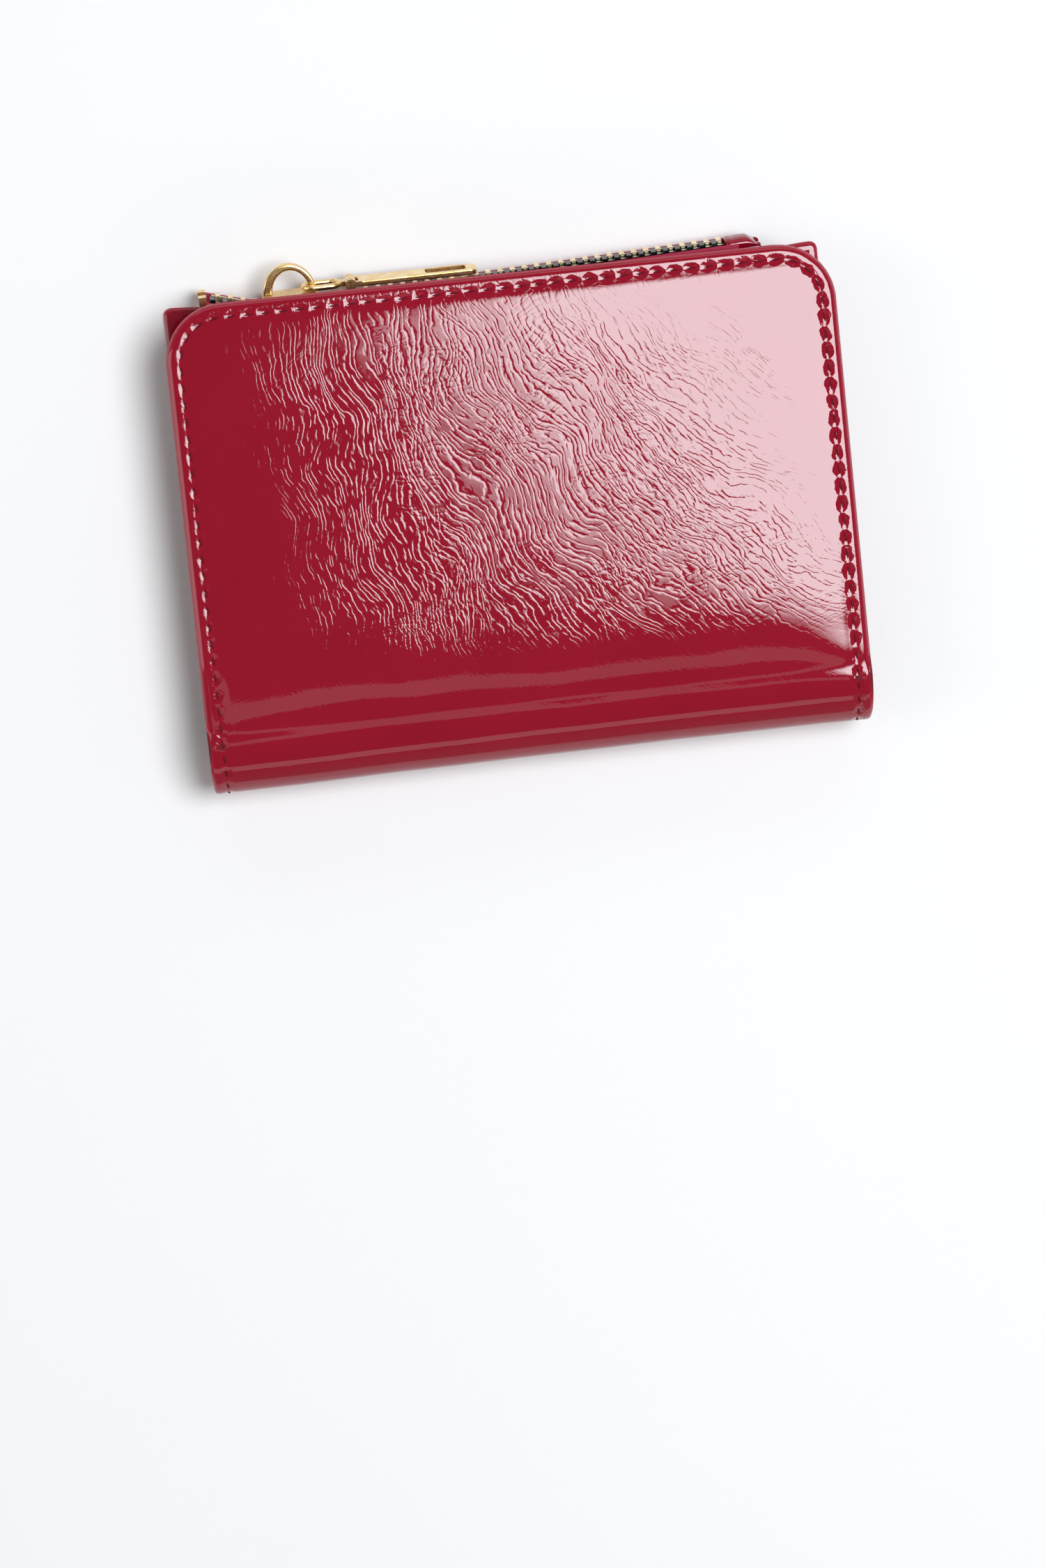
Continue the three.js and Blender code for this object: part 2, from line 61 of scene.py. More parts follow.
THICKNESS = cover_high.z
FOLD_CENTRE_Y = spine_high.y
FOLD_DEPTH = FOLD_CENTRE_Y - spine_low.y
COVER_HALF = cover_high.x
REAR_HALF = rear_high.x
COVER_RADIUS = 12 * MM
REAR_RADIUS = 1.5 * MM
LEATHER = 1.4 * MM
LINING_GAP = 0.2 * MM
COVER_WALL = THICKNESS - lining_high.z - LINING_GAP  # the leather wraps the padding and board
TURNED_EDGE = 12 * MM  # of the rear panel's top edge, so that its shiny side shows in front

SEAM_INSET = 3.0 * MM
SEAM_DEPTH = 0.16 * MM
SEAM_HALF_WIDTH = 0.8 * MM
STITCH_PITCH = 3.5 * MM
THREAD_RADIUS = 0.21 * MM
POCKET_DEPTH = 0.30 * MM  # of the hollow that the thread draws at each stitch

PAD_DROP = 0.85 * MM  # from the middle of the padded cover to its seam
PAD_REACH = 6.5 * MM
ROLL_DROP = 1.3 * MM  # where the cover starts to bend down to the fold
ROLL_REACH = 7 * MM
FOLD_BULGE = 0.7 * MM  # the fold sags at its left end
WAVE_HEIGHT = 0.045 * MM
CRINKLE_DEPTH = 0.024 * MM
REAR_DROOP = 1.2 * MM


# ---- Mesh helpers -------------------------------------------------------------------------------


def smoothstep(low, high, x):
    t = np.clip((np.asarray(x, float) - low) / (high - low), 0, 1)
    return t * t * (3 - 2 * t)


def new_object(name, vertices, faces, material, smooth=True):
    mesh = bpy.data.meshes.new(name)
    mesh.from_pydata([tuple(v) for v in vertices], [], faces)
    mesh.validate()
    obj = bpy.data.objects.new(name, mesh)
    bpy.context.scene.collection.objects.link(obj)
    mesh.materials.append(material)
    mesh.polygons.foreach_set("use_smooth", [smooth] * len(mesh.polygons))
    return obj


def store(obj, name, values):
    """Keeps a vector of numbers on each point, for the materials to read."""
    attribute = obj.data.attributes.new(name, "FLOAT_VECTOR", "POINT")
    attribute.data.foreach_set("vector", np.asarray(values, np.float32).ravel())


def grid_faces(rows, columns, first=0, flip=False):
    faces = []
    for i in range(rows - 1):
        for j in range(columns - 1):
            a = first + i * columns + j
            face = (a, a + 1, a + columns + 1, a + columns)
            faces.append(face[::-1] if flip else face)
    return faces


def stations(length, edge, step):
    """Distances from 0 to length, close together within edge of both ends and step apart between."""
    near = edge * (1 - np.cos(np.linspace(0, math.pi / 2, 6)))
    middle = np.linspace(edge, length - edge, max(2, int((length - 2 * edge) / step) + 1))
    return np.concatenate([near[:-1], middle, (length - near[:-1])[::-1]])


def outline_half(distance, half, radius):
    """Half the width of a panel at a distance from its rounded end."""
    inside = np.clip(radius - distance, 0, radius)
    return half - radius + np.sqrt(np.clip(radius**2 - inside**2, 0, None))


def outline_distance(x, distance, half, radius):
    """How far a point is inside a panel's side and rounded end."""
    dx = np.clip(np.abs(x) - (half - radius), 0, None)
    dy = np.clip(radius - distance, 0, None)
    corner = radius - np.hypot(dx, dy)
    flat = np.minimum(half - np.abs(x), distance)
    return np.where((dx > 0) & (dy > 0), corner, flat)


def bullnose(edge, radius):
    """How far a face has dropped at a distance from its rounded edge."""
    e = np.clip(edge, 0, radius)
    return radius - np.sqrt(np.clip(radius**2 - (radius - e) ** 2, 0, None))


# ---- The outer leather: rear panel, fold and front cover in one hide ----------------------------


class Hide:
    """The outer leather's surface.

    s runs from the rear panel's top edge, round the fold, to the cover's top edge.
    """

    def __init__(self):
        self.rear_length = rear_high.y - FOLD_CENTRE_Y
        turn = np.linspace(0, math.pi, 401)
        self.turn = turn
        y = -FOLD_DEPTH * np.sin(turn)
        z = THICKNESS / 2 * (1 - np.cos(turn))
        self.turn_length = np.concatenate([[0], np.cumsum(np.hypot(np.diff(y), np.diff(z)))])
        self.fold_length = self.turn_length[-1]
        self.cover_start = self.rear_length + self.fold_length
        self.length = self.cover_start + cover_high.y - FOLD_CENTRE_Y

    def line(self, s):
        """Place and outward direction of the leather's outer line at s, in (y, z)."""
        s = np.asarray(s, float)
        turn = np.interp(s - self.rear_length, self.turn_length, self.turn)
        y = FOLD_CENTRE_Y - FOLD_DEPTH * np.sin(turn)
        z = THICKNESS / 2 * (1 - np.cos(turn))
        y = y + np.clip(self.rear_length - s, 0, None) + np.clip(s - self.cover_start, 0, None)
        ny = -np.sin(turn) / FOLD_DEPTH
        nz = -np.cos(turn) / (THICKNESS / 2)
        size = np.hypot(ny, nz)
        return y, z, ny / size, nz / size

    def half(self, s):
        share = smoothstep(self.rear_length, self.cover_start, s)
        return REAR_HALF + (COVER_HALF - REAR_HALF) * share

    def width_at(self, s):
        rear = outline_half(s, self.half(s), REAR_RADIUS)
        cover = outline_half(self.length - s, self.half(s), COVER_RADIUS)
        return np.minimum(rear, cover)

    def edge(self, x, s):
        """Distance from the nearest cut edge."""
        rear = outline_distance(x, s, self.half(s), REAR_RADIUS)
        cover = outline_distance(x, self.length - s, self.half(s), COVER_RADIUS)
        return np.minimum(rear, cover)

    def wall(self, s):
        on_cover = smoothstep(self.cover_start - 3 * MM, self.cover_start + 3 * MM, s)
        return LEATHER + (COVER_WALL - LEATHER) * on_cover

    def height(self, x, s):
        """Padding and creases: how far the outer face stands off the leather's line."""
        on_cover = smoothstep(self.cover_start - 8 * MM, self.cover_start + 10 * MM, s)
        edge = self.edge(x, s)
        pad = -PAD_DROP * np.exp(-np.clip(edge - SEAM_INSET, 0, None) / PAD_REACH) * on_cover
        seam = -SEAM_DEPTH * np.exp(-(((edge - SEAM_INSET) / SEAM_HALF_WIDTH) ** 2))
        in_fold = smoothstep(self.rear_length, self.rear_length + 9 * MM, s)
        in_fold = in_fold * (1 - smoothstep(self.cover_start - 4 * MM, self.cover_start + 16 * MM, s))
        sway = 0.05 * MM * np.sin(x / (11 * MM) + 1.3)
        sway += 0.03 * MM * np.sin(x / (4.7 * MM) + s / (9 * MM))
        _, _, ny, nz = self.line(s)
        from_fold = np.clip(s - self.cover_start, 0, None)
        roll = -ROLL_DROP * np.exp(-from_fold / ROLL_REACH) * np.clip(nz, 0, None) ** 2
        bulge = FOLD_BULGE * (1 - smoothstep(-COVER_HALF, 20 * MM, x)) * ny**2
        waves = WAVE_HEIGHT * np.sin(x / (15 * MM) + s / (19 * MM))
        waves *= np.sin(s / (13 * MM) - x / (31 * MM) + 0.6)
        return pad + seam + roll + bulge + in_fold * sway + on_cover * waves

    def droop(self, x, s):
        """The rear panel's top edge hangs a little lower between its corners."""
        between = 1 - smoothstep(50 * MM, REAR_HALF, np.abs(x))
        return REAR_DROOP * between * (1 - smoothstep(0, 20 * MM, s))

    def point(self, x, s, lift=0.0):
        """A point on the outer face, raised by lift."""
        x, s = np.broadcast_arrays(np.asarray(x, float), np.asarray(s, float))
        y, z, ny, nz = self.line(s)
        off = self.height(x, s) + lift
        return np.stack([x, y - self.droop(x, s) + ny * off, z + nz * off], -1)


hide = Hide()


def seam_path(step=0.25 * MM):
    """The stitch line in (x, s): up the left side, round the cover's top, and down the right side."""
    inner = SEAM_INSET
    s_side = np.arange(inner, hide.length - COVER_RADIUS, step)
    left = np.stack([-(hide.half(s_side) - inner), s_side], -1)
    radius = COVER_RADIUS - inner
    turn = np.arange(0, math.pi / 2, step / radius)
    corner_x, corner_s = COVER_HALF - COVER_RADIUS, hide.length - COVER_RADIUS
    left_corner = np.stack([-corner_x - radius * np.cos(turn), corner_s + radius * np.sin(turn)], -1)
    across = np.arange(-corner_x, corner_x, step)
    top = np.stack([across, np.full_like(across, hide.length - inner)], -1)
    right_corner = left_corner[::-1] * [-1, 1]
    right = left[::-1] * [-1, 1]
    return np.concatenate([left, left_corner, top, right_corner, right])


def rear_seam_path(step=0.25 * MM):
    """The stitch line along the rear panel's top edge, which also holds the zip's rear tape."""
    reach = REAR_HALF - SEAM_INSET
    across = np.arange(-reach, reach, step)
    return np.stack([across, np.full_like(across, SEAM_INSET)], -1)


def path_length(path):
    return np.concatenate([[0], np.cumsum(np.linalg.norm(np.diff(path, axis=0), axis=1))])


def along_seam(x, s):
    """Distance along the stitch line of the path's point that is nearest to (x, s)."""
    path = seam_path(0.5 * MM)
    lengths = path_length(path)
    points = np.stack([x.ravel(), s.ravel()], -1)
    nearest = np.empty(len(points))
    for start in range(0, len(points), 2000):
        block = points[start : start + 2000]
        gaps = ((block[:, None, :] - path[None, :, :]) ** 2).sum(-1)
        nearest[start : start + 2000] = lengths[gaps.argmin(1)]
    return nearest.reshape(x.shape)


def build_outer_leather(material, backing):
    rows = stations(hide.length, 3.5 * MM, 0.9 * MM)
    share = stations(2 * COVER_HALF, 3.5 * MM, 1.1 * MM) / (2 * COVER_HALF) * 2 - 1
    s = np.repeat(rows[:, None], len(share), 1)
    x = share[None, :] * hide.width_at(rows)[:, None]
    edge = hide.edge(x, s)
    wall = hide.wall(s)
    nose = np.minimum(wall / 2, 1.5 * MM)
    drop = bullnose(edge, nose)
    y, z, ny, nz = hide.line(s)
    y = y - hide.droop(x, s)
    outer = hide.height(x, s) - drop
    inner = -wall + drop * np.minimum(1, (wall / 2) / nose)
    rim = edge < 1e-7
    meet = (outer + inner) / 2
    outer_side = np.where(rim, np.maximum(outer, meet), outer)
    inner_side = np.where(rim, np.minimum(inner, meet), inner)
    top = np.stack([x, y + ny * outer_side, z + nz * outer_side], -1).reshape(-1, 3)
    bottom = np.stack([x, y + ny * inner_side, z + nz * inner_side], -1).reshape(-1, 3)
    count_rows, count_columns = x.shape
    faces = grid_faces(count_rows, count_columns)
    faces += grid_faces(count_rows, count_columns, len(top), flip=True)
    faces += rim_faces(count_rows, count_columns, len(top))
    obj = new_object("outer_leather", np.concatenate([top, bottom]), faces, material)
    obj.data.materials.append(backing)
    face_count = (count_rows - 1) * (count_columns - 1)
    turned_over = int(np.searchsorted(rows, TURNED_EDGE)) * (count_columns - 1)
    for i in range(face_count + turned_over, 2 * face_count):
        obj.data.polygons[i].material_index = 1
    flat = np.stack([x, s, np.zeros_like(x)], -1).reshape(-1, 3) / MM
    store(obj, "hide", np.concatenate([flat, flat + [0, 0, 40]]))
    along = along_seam(x, s)
    seam = np.stack([edge, along, np.zeros_like(x)], -1).reshape(-1, 3) / MM
    store(obj, "seam", np.concatenate([seam, seam + [0, 0, 1]]))
    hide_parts("front_outer_panel", "spine_leather", "rear_outer_panel")
    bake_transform(obj)
    return obj


def rim_faces(rows, columns, offset):
    """Faces that close the gap between two grids of the same size, all round their rim."""
    loop = [j for j in range(columns)]
    loop += [i * columns + columns - 1 for i in range(1, rows)]
    loop += [(rows - 1) * columns + j for j in range(columns - 2, -1, -1)]
    loop += [i * columns for i in range(rows - 2, 0, -1)]
    faces = []
    for k, a in enumerate(loop):
        b = loop[(k + 1) % len(loop)]
        faces.append((b, a, a + offset, b + offset))
    return faces


def build_stitches(name, path, surface, material):
    """Thread stitches along a path on a surface, each one dipping into its holes at both ends.

    surface(a, b, lift) gives the points at (a, b) raised by lift.
    """
    lengths = path_length(path)
    count = int(lengths[-1] / STITCH_PITCH)
    reach = 0.36 * STITCH_PITCH
    profile = np.linspace(-1, 1, 7)
    sides = 6
    ring = np.linspace(0, 2 * math.pi, sides + 1)[:-1]
    vertices, faces = [], []
    for k in range(count):
        centre = (k + 0.5) * STITCH_PITCH
        along = np.clip(centre + profile * reach, 0, lengths[-1])
        first_way = np.interp(along, lengths, path[:, 0])
        second_way = np.interp(along, lengths, path[:, 1])
        sink = 0.08 * MM - 0.38 * MM * np.abs(profile) ** 3
        points = surface(first_way, second_way, sink)
        above = surface(first_way, second_way, sink + 1 * MM) - points
        up = above / np.linalg.norm(above, axis=1)[:, None]
        run = np.gradient(points, axis=0)
        run /= np.linalg.norm(run, axis=1)[:, None]
        side = np.cross(up, run)
        twist = 0.12 * MM * profile[:, None] * side
        first = len(vertices)
        for i in range(len(profile)):
            thick = THREAD_RADIUS * (1 - 0.35 * abs(profile[i]) ** 4)
            for angle in ring:
                out = side[i] * math.cos(angle) + up[i] * math.sin(angle)
                vertices.append(points[i] + twist[i] + out * thick)
        for i in range(len(profile) - 1):
            for j in range(sides):
                a = first + i * sides + j
                b = first + i * sides + (j + 1) % sides
                faces.append((a, b, b + sides, a + sides))
        last = first + (len(profile) - 1) * sides
        faces.append(tuple(first + j for j in range(sides - 1, -1, -1)))
        faces.append(tuple(last + j for j in range(sides)))
    obj = new_object(name, vertices, faces, material)
    return obj


def cover_inside(x, s, lift):
    """A point on the cover's inner face behind (x, s) of the hide, raised by lift."""
    y = FOLD_CENTRE_Y + s - hide.cover_start
    return np.stack([x, y, np.broadcast_to(lining_low.z - lift, np.shape(x))], -1)


# ---- Flat layers inside -------------------------------------------------------------------------


def build_panel(name, node, body, material, end_radius=1.5 * MM, sag=0.0):
    """A flat leather or lining layer with softened edges, in the place of its CAD node."""
    low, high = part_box(node)
    half = (high.x - low.x) / 2
    wall = high.z - low.z
    across = stations(high.y - low.y, 1.2 * MM, 2.5 * MM)
    share = stations(2 * half, 1.2 * MM, 2.5 * MM) / half - 1
    d = np.repeat(across[:, None], len(share), 1)
    near_end = (high.y - low.y) - d
    x = share[None, :] * outline_half(near_end[:, 0], half, end_radius)[:, None]
    edge = np.minimum(outline_distance(x, near_end, half, end_radius), d)
    drop = bullnose(edge, wall / 2)
    wave = sag * np.sin(x / (23 * MM)) * np.sin(math.pi * np.clip(d / (high.y - low.y), 0, 1))
    top = np.stack([x, low.y + d, high.z - drop + wave], -1).reshape(-1, 3)
    bottom = np.stack([x, low.y + d, low.z + drop + wave], -1).reshape(-1, 3)
    rows, columns = x.shape
    faces = grid_faces(rows, columns) + grid_faces(rows, columns, len(top), flip=True)
    faces += rim_faces(rows, columns, len(top))
    obj = new_object(name, np.concatenate([top, bottom]), faces, material)
    seam = np.stack([edge, d, near_end], -1).reshape(-1, 3) / MM
    store(obj, "seam", np.concatenate([seam, seam]))
    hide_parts(node)
    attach(obj, body)
    return obj


def soft_copy(node, name, material):
    """A CAD node's own mesh, kept in its shape, copied out as a separate piece with the given material."""
    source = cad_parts[node]
    obj = source.copy()
    obj.data = source.data.copy()
    obj.name = name
    for key in list(obj.keys()):
        if key.startswith("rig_"):
            del obj[key]
    obj.parent = None
    obj.matrix_world = source.matrix_world
    bpy.context.scene.collection.objects.link(obj)
    obj.data.materials.clear()
    obj.data.materials.append(material)
    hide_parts(node)
    return obj


# Zip axes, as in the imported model: along the chain, across it towards the front cover, and out of its face.
ZIP_CLIMB = math.radians(2)
ZIP_TILT = math.radians(77)
ZIP_ALONG = np.array([math.cos(ZIP_CLIMB), math.sin(ZIP_CLIMB), 0.0])
ZIP_ACROSS = np.array([math.cos(ZIP_TILT) * math.sin(ZIP_CLIMB), -math.cos(ZIP_TILT) * math.cos(ZIP_CLIMB),
                       math.sin(ZIP_TILT)])
ZIP_OUT = np.cross(ZIP_ACROSS, ZIP_ALONG)


def build_end_tab(material):
    """A strip of leather folded over the closed end of the zip, full at the teeth and sloping down behind."""
    low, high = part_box("zip_end_tab")
    middle = np.array([(low.x + high.x) / 2, (low.y + high.y) / 2, (low.z + high.z) / 2])
    half_length = (high.x - low.x) / 2 - 0.1 * MM
    half_width = 2.75 * MM
    half_height = 1.45 * MM
    wall = 0.7 * MM
    turns = np.linspace(-0.15 * math.pi, 1.15 * math.pi, 25)
    rings = []
    for t in stations(2, 0.25, 0.12) - 1:
        fall = 1.9 * MM * float(smoothstep(0.15, 1.0, t))
        pinch = 0.12 * MM * math.exp(-(((t + 0.55) / 0.12) ** 2))
        end = 1 - 0.25 * abs(t) ** 16
        ring = []
        for shrink, order in ((0.0, turns), (wall, turns[::-1])):
            for turn in order:
                across = np.sign(np.cos(turn)) * abs(np.cos(turn)) ** 0.55 * (half_width - shrink) * end
                rise = np.sign(np.sin(turn)) * abs(np.sin(turn)) ** 0.9 * (half_height - shrink)
                out = rise - (fall + pinch) * max(0.0, math.sin(turn)) - (1 - end) * half_height
                place = middle + ZIP_ALONG * (t * half_length) + ZIP_ACROSS * across + ZIP_OUT * out
                ring.append(place)
        rings.append(ring)
    return tube_through("zip_end_tab_leather", rings, material)


def tube_through(name, rings, material):
    """A closed mesh through rings of points with the same count."""
    count = len(rings[0])
    vertices = [point for ring in rings for point in ring]
    faces = []
    for i in range(len(rings) - 1):
        for j in range(count):
            a = i * count + j
            b = i * count + (j + 1) % count
            faces.append((a, b, b + count, a + count))
    half = count // 2
    for first in (0, (len(rings) - 1) * count):
        for j in range(half - 1):
            face = (first + j, first + j + 1, first + count - 2 - j, first + count - 1 - j)
            faces.append(face if first else face[::-1])
    return new_object(name, vertices, faces, material)


# ---- Node material helpers ----------------------------------------------------------------------


class Nodes:
    """Short calls for a material's node tree."""

    def __init__(self, name):
        self.material = bpy.data.materials.new(name)
        self.material.use_nodes = True
        self.tree = self.material.node_tree
        self.shader = self.tree.nodes["Principled BSDF"]

    def set(self, **values):
        for name, value in values.items():
            self.shader.inputs[name.replace("_", " ")].default_value = value
        return self

    def add(self, kind, **inputs):
        node = self.tree.nodes.new(kind)
        for name, value in inputs.items():
            self.feed(node.inputs[name.replace("_", " ")], value)
        return node

    def feed(self, socket, value):
        if isinstance(value, bpy.types.NodeSocket):
            self.tree.links.new(value, socket)
        else:
            socket.default_value = value

    def math(self, operation, a, b=0.0, c=0.0):
        node = self.tree.nodes.new("ShaderNodeMath")
        node.operation = operation
        for socket, value in zip(node.inputs, (a, b, c)):
            self.feed(socket, value)
        return node.outputs[0]

    def vector(self, operation, a, b=None, scale=None):
        node = self.tree.nodes.new("ShaderNodeVectorMath")
        node.operation = operation
        self.feed(node.inputs[0], a)
        if b is not None:
            self.feed(node.inputs[1], b)
        if scale is not None:
            self.feed(node.inputs["Scale"], scale)
        return node.outputs[0]

    def attribute(self, name):
        node = self.tree.nodes.new("ShaderNodeAttribute")
        node.attribute_name = name
        return node.outputs["Vector"]

    def object_place(self):
        """Place on the part, in millimetres."""
        node = self.tree.nodes.new("ShaderNodeTexCoord")
        return self.vector("SCALE", node.outputs["Object"], scale=1 / MM)

    def split(self, vector):
        node = self.add("ShaderNodeSeparateXYZ", Vector=vector)
        return node.outputs

    def noise(self, vector, scale, detail=2.0, roughness=0.5, distortion=0.0):
        node = self.add("ShaderNodeTexNoise", Vector=vector, Scale=scale, Detail=detail, Roughness=roughness,
                        Distortion=distortion)
        return node.outputs["Fac"]

    def noise_vector(self, vector, scale, detail=1.0):
        node = self.add("ShaderNodeTexNoise", Vector=vector, Scale=scale, Detail=detail)
        return node.outputs["Color"]

    def ramp(self, value, low, high, smooth=True):
        """0 below low, 1 above high."""
        node = self.tree.nodes.new("ShaderNodeMapRange")
        node.interpolation_type = "SMOOTHSTEP" if smooth else "LINEAR"
        self.feed(node.inputs["Value"], value)
        self.feed(node.inputs["From Min"], low)
        self.feed(node.inputs["From Max"], high)
        return node.outputs["Result"]

    def mix(self, share, a, b):
        node = self.tree.nodes.new("ShaderNodeMix")
        node.data_type = "RGBA"
        self.feed(node.inputs["Factor"], share)
        self.feed(node.inputs["A"], a)
        self.feed(node.inputs["B"], b)
        return node.outputs["Result"]

    def bump(self, height, distance, normal=None, strength=1.0):
        node = self.add("ShaderNodeBump", Height=height, Distance=distance, Strength=strength)
        if normal is not None:
            self.feed(node.inputs["Normal"], normal)
        return node.outputs["Normal"]

    def link(self, name, value):
        self.feed(self.shader.inputs[name], value)
        return self


# ---- Materials ----------------------------------------------------------------------------------


def grain(m, place, angle, spacing, fork):
    """Rounded ridges with narrow furrows between them, at an angle in degrees, spacing millimetres apart.

    fork sets how much the ridges wander, join and part.
    """
    turned = m.tree.nodes.new("ShaderNodeVectorRotate")
    turned.rotation_type = "Z_AXIS"
    m.feed(turned.inputs["Vector"], place)
    turned.inputs["Angle"].default_value = -math.radians(angle)
    _, across, _ = m.split(turned.outputs[0])
    drift = m.noise(m.vector("MULTIPLY", turned.outputs[0], (0.11, 0.38, 0.38)), 1.0, 2.0, 0.5)
    phase = m.math("ADD", m.math("DIVIDE", across, spacing), m.math("MULTIPLY", drift, fork))
    from_furrow = m.math("ABSOLUTE", m.math("SUBTRACT", m.math("FRACT", phase), 0.5))
    ridge = m.ramp(from_furrow, 0.0, 0.34)
    depth = m.ramp(m.noise(turned.outputs[0], 0.45, 1.0), 0.30, 0.55)
    return m.math("SUBTRACT", 1.0, m.math("MULTIPLY", m.math("SUBTRACT", 1.0, ridge), depth))


def band_between(m, value, low, high, soft):
    """1 between low and high, fading to 0 over soft outside them."""
    rise = m.ramp(value, low - soft, low)
    return m.math("MULTIPLY", rise, m.math("SUBTRACT", 1.0, m.ramp(value, high, high + soft)))


def crinkle_height(m, hide_place):
    """Wrinkles that run up the hide near its left side and turn to a slant towards its right side."""
    swirl = m.vector("SUBTRACT", m.noise_vector(hide_place, 0.05), (0.5, 0.5, 0.5))
    warped = m.vector("ADD", hide_place, m.vector("SCALE", swirl, scale=11.0))
    jitter = m.vector("SUBTRACT", m.noise_vector(hide_place, 0.5, 2.0), (0.5, 0.5, 0.5))
    warped = m.vector("ADD", warped, m.vector("SCALE", jitter, scale=0.7))
    wander = m.math("MULTIPLY", m.math("SUBTRACT", m.noise(hide_place, 0.04, 2.0), 0.5), 70.0)
    x, _, _ = m.split(hide_place)
    place_across = m.math("ADD", x, wander)
    upright = m.math("SUBTRACT", 1.0, m.ramp(place_across, -22.0, -8.0))
    slanted = band_between(m, place_across, -12.0, 18.0, 14.0)
    flatter = m.ramp(place_across, 14.0, 30.0)
    height = m.math("MULTIPLY", grain(m, warped, 97, 1.1, 3.8), upright)
    height = m.math("MULTIPLY_ADD", grain(m, warped, 120, 1.15, 3.8), slanted, height)
    height = m.math("MULTIPLY_ADD", grain(m, warped, 141, 1.3, 4.2), flatter, height)
    cross_patch = m.ramp(m.noise(hide_place, 0.07, 1.0), 0.45, 0.60)
    cross = m.math("MULTIPLY", grain(m, warped, 20, 1.1, 3.2), cross_patch)
    return m.math("MULTIPLY_ADD", cross, 0.5, height)


def crinkle_mask(m, hide_place):
    """Where the hide is crinkled: strong over each panel's middle, faint near the left side and the fold."""
    x, s, _ = m.split(hide_place)
    above_fold = m.math("SUBTRACT", s, hide.cover_start / MM)
    below_fold = m.math("SUBTRACT", hide.rear_length / MM, s)
    away = m.math("MAXIMUM", above_fold, below_fold)
    off_fold = m.ramp(away, 7.0, 21.0)
    off_left = m.ramp(x, -64.0, -20.0)
    corner = m.ramp(m.math("MULTIPLY_ADD", away, 0.7, x), 55.0, 92.0)
    off_right = m.math("SUBTRACT", 1.0, m.math("MULTIPLY", corner, 0.75))
    off_top = m.math("SUBTRACT", 1.0, m.math("MULTIPLY", m.ramp(away, 68.0, 82.0), 0.6))
    mask = m.math("MULTIPLY", m.math("MULTIPLY", off_fold, off_left), m.math("MULTIPLY", off_right, off_top))
    patchy = m.math("MULTIPLY_ADD", m.noise(hide_place, 0.06, 2.0), 1.0, 0.5)
    return m.math("MULTIPLY_ADD", m.math("MULTIPLY", mask, patchy), 0.94, 0.06)


def pucker_height(m, seam_place):
    """The thread draws the leather down into an oval hollow at each stitch. 1 at a hollow's bottom."""
    edge, along, _ = m.split(seam_place)
    wobble = m.math("MULTIPLY_ADD", m.noise(seam_place, 0.45, 2.0), 1.3, -0.65)
    beat = m.math("FRACT", m.math("DIVIDE", m.math("MULTIPLY_ADD", wobble, 0.4, along), STITCH_PITCH / MM))
    from_middle = m.math("MULTIPLY", m.math("SUBTRACT", beat, 0.5), 1.85)
    size = m.math("MULTIPLY_ADD", m.noise(seam_place, 0.21, 1.0), 1.1, 0.75)
    from_line = m.math("DIVIDE", m.math("ADD", m.math("SUBTRACT", edge, SEAM_INSET / MM), wobble), size)
    squares = m.math("MULTIPLY", from_middle, from_middle)
    squares = m.math("ADD", squares, m.math("MULTIPLY", from_line, from_line))
    return m.math("SUBTRACT", 1.0, m.ramp(m.math("SQRT", squares), 0.0, 1.0, smooth=False))


def patent_leather(name="patent_leather", crinkled=True):
    m = Nodes(name)
    place = m.attribute("hide") if crinkled else m.object_place()
    tone = m.noise(place, 0.06, 3.0)
    colour = m.mix(tone, (0.255, 0.0015, 0.013, 1), (0.30, 0.003, 0.019, 1))
    speck = m.ramp(m.noise(place, 1.6, 2.0), 0.72, 0.80)
    colour = m.mix(m.math("MULTIPLY", speck, 0.15), colour, (0.14, 0.001, 0.008, 1))
    orange_peel = m.noise(place, 0.09, 1.0)
    normal = m.bump(orange_peel, 0.05 * MM)
    if crinkled:
        seam = m.attribute("seam")
        edge, _, _ = m.split(seam)
        worn = m.math("SUBTRACT", 1.0, m.ramp(edge, 0.1, 1.1))
        colour = m.mix(m.math("MULTIPLY", worn, 0.55), colour, (0.40, 0.022, 0.05, 1))
        crinkle = m.math("MULTIPLY", crinkle_height(m, place), crinkle_mask(m, place))
        normal = m.bump(crinkle, CRINKLE_DEPTH, normal)
        x, _, _ = m.split(place)
        drawn = m.math("MULTIPLY_ADD", m.ramp(x, -60.0, 20.0), -0.75, -0.25)
        normal = m.bump(m.math("MULTIPLY", pucker_height(m, seam), drawn), POCKET_DEPTH, normal)
    fine = m.noise(place, 1.8, 2.0)
    normal = m.bump(fine, 0.0012 * MM, normal)
    m.link("Base Color", colour).link("Normal", normal).link("Coat Normal", normal)
    m.set(Roughness=0.6, Specular_IOR_Level=0.0, Coat_Weight=1.0, Coat_Roughness=0.03, Coat_IOR=1.55)
    return m.material


